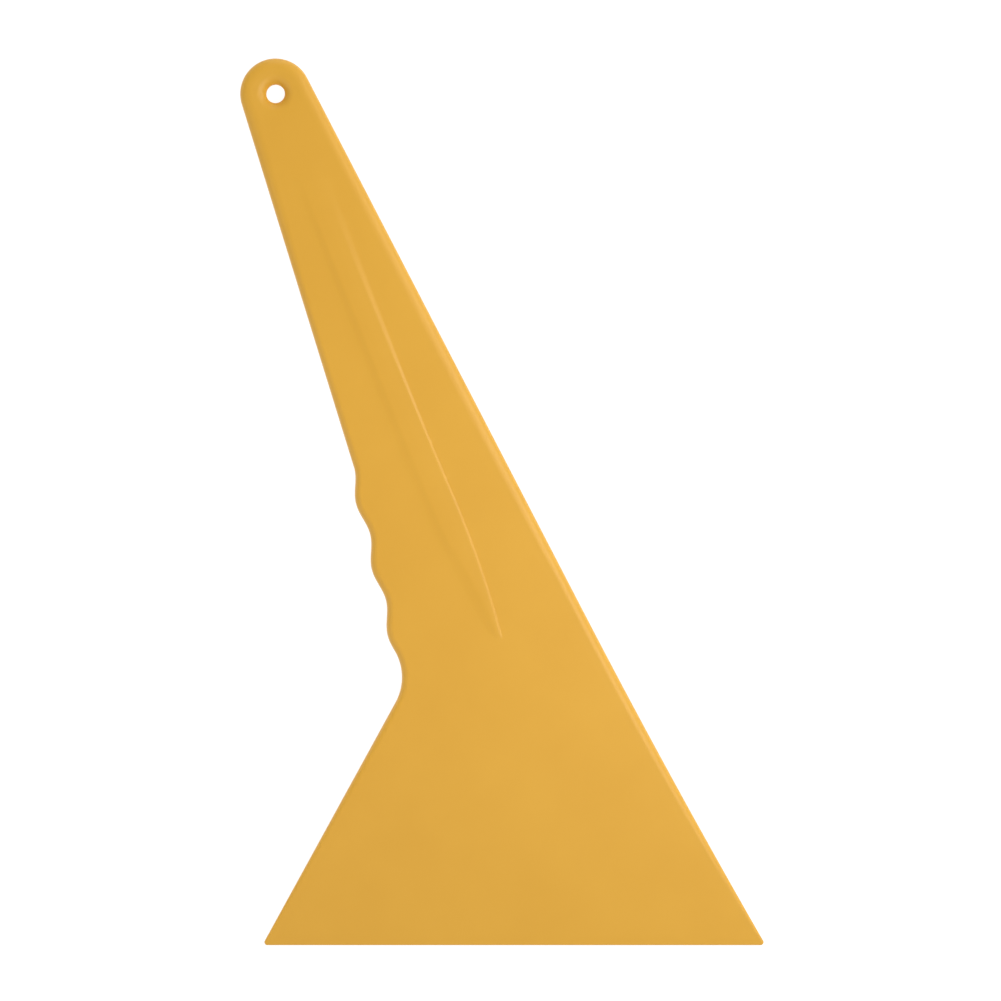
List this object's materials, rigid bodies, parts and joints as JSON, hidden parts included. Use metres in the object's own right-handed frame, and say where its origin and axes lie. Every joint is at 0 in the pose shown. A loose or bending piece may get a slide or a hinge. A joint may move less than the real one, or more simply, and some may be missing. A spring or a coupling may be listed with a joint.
{
  "type": "squeegee applicator",
  "caption": "Flat one-piece plastic squeegee: a long tapering handle with a hanging hole, raised spine and finger grips widens into a broad blade with a thin straight scraping edge.",
  "frame": {"origin": "on the flat back, under the middle of the plan's bounding box", "axes": "+Y from the scraping edge to the handle's tip, +Z out of the worked face, +X to the right when looking at the worked face with the tip up"},
  "size_m": [0.1746, 0.2958, 0.0054],
  "materials": {
    "moulding": "satin golden-yellow moulded plastic"
  },
  "bodies": {
    "root": {"squeegee_body": "moulding"}
  },
  "joints": []
}
